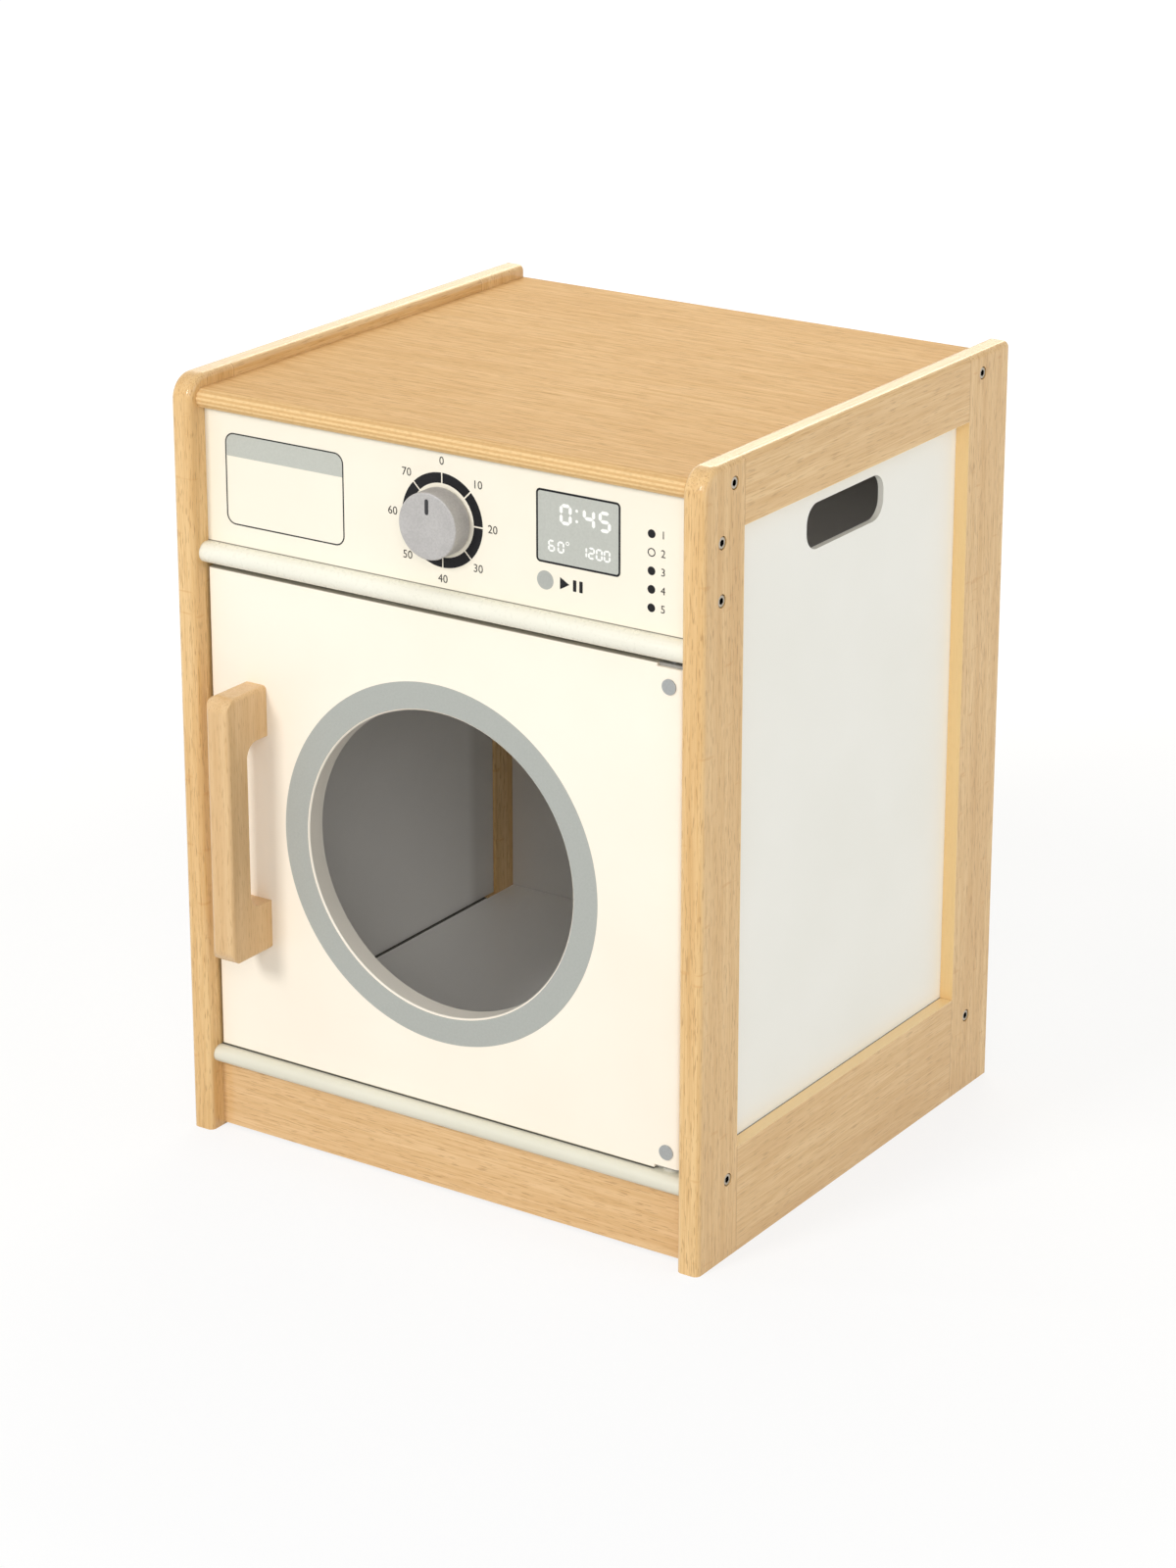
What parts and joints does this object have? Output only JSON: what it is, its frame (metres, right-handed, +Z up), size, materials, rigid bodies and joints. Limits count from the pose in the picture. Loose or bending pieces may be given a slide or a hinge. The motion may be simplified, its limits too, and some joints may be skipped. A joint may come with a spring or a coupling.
{
  "type": "toy washing machine",
  "caption": "Wooden toy washing machine with framed sides, hand-hold slots, porthole door on a pivot hinge, wooden pull, magnetic catch and turning programme dial.",
  "frame": {"origin": "bottom centre of the closed object's bounding box, on the floor, with the pull counted", "axes": "+Z up, -Y towards the front with the door, +X to the viewer's right as the door is faced"},
  "size_m": [0.4, 0.3984, 0.52],
  "materials": {
    "beech": "clear satin lacquer on solid beech",
    "beech_worktop": "satin lacquer on beech-faced plywood",
    "white_board": "white satin paint on fibreboard",
    "cream_board": "cream satin paint on fibreboard",
    "ivory_paint": "ivory satin paint on a rounded board edge",
    "dowel_wood": "plain fluted beech",
    "steel": "zinc plated",
    "black_steel": "blackened",
    "grey_paint": "light grey paint",
    "nylon": "natural white nylon",
    "grey_plastic": "light grey, fine satin",
    "black_inlay": "black satin",
    "magnet": "bare ferrite"
  },
  "bodies": {
    "cabinet": {"left_front_stile": "beech", "left_rear_stile": "beech", "left_top_rail": "beech", "left_bottom_rail": "beech", "left_side_panel": "white_board", "right_front_stile": "beech", "right_rear_stile": "beech", "right_top_rail": "beech", "right_bottom_rail": "beech", "right_side_panel": "white_board", "worktop": "beech_worktop", "control_panel": "cream_board", "head_rail": "ivory_paint", "base_shelf": "ivory_paint", "plinth": "beech", "back_panel": "white_board", "frame_dowels": "dowel_wood", "board_dowels": "dowel_wood", "cabinet_screws": "black_steel", "hinge_pins": "steel", "hinge_washers": "nylon", "dial_bush": "nylon", "catch_housing": "nylon", "catch_magnet": "magnet", "catch_screws": "steel"},
    "door": {"door_panel": "cream_board", "door_pull": "beech", "pull_screws": "steel", "hinge_brackets": "steel", "hinge_rivets": "grey_paint", "strike_plate": "steel", "strike_screw": "steel"},
    "dial": {"dial_knob": "grey_plastic", "dial_pointer": "black_inlay", "dial_spindle": "steel", "dial_washer": "steel", "dial_nut": "steel"}
  },
  "joints": [
    {"name": "door_hinge", "type": "hinge", "parent": "cabinet", "child": "door", "pos_m": [0.169, -0.15145, 0.22635], "axis": [0, 0, 1], "range_deg": [0, 105]},
    {"name": "dial_turn", "type": "hinge", "parent": "cabinet", "child": "dial", "pos_m": [0.001, -0.15625, 0.45425], "axis": [0, -1, 0], "continuous": true}
  ]
}
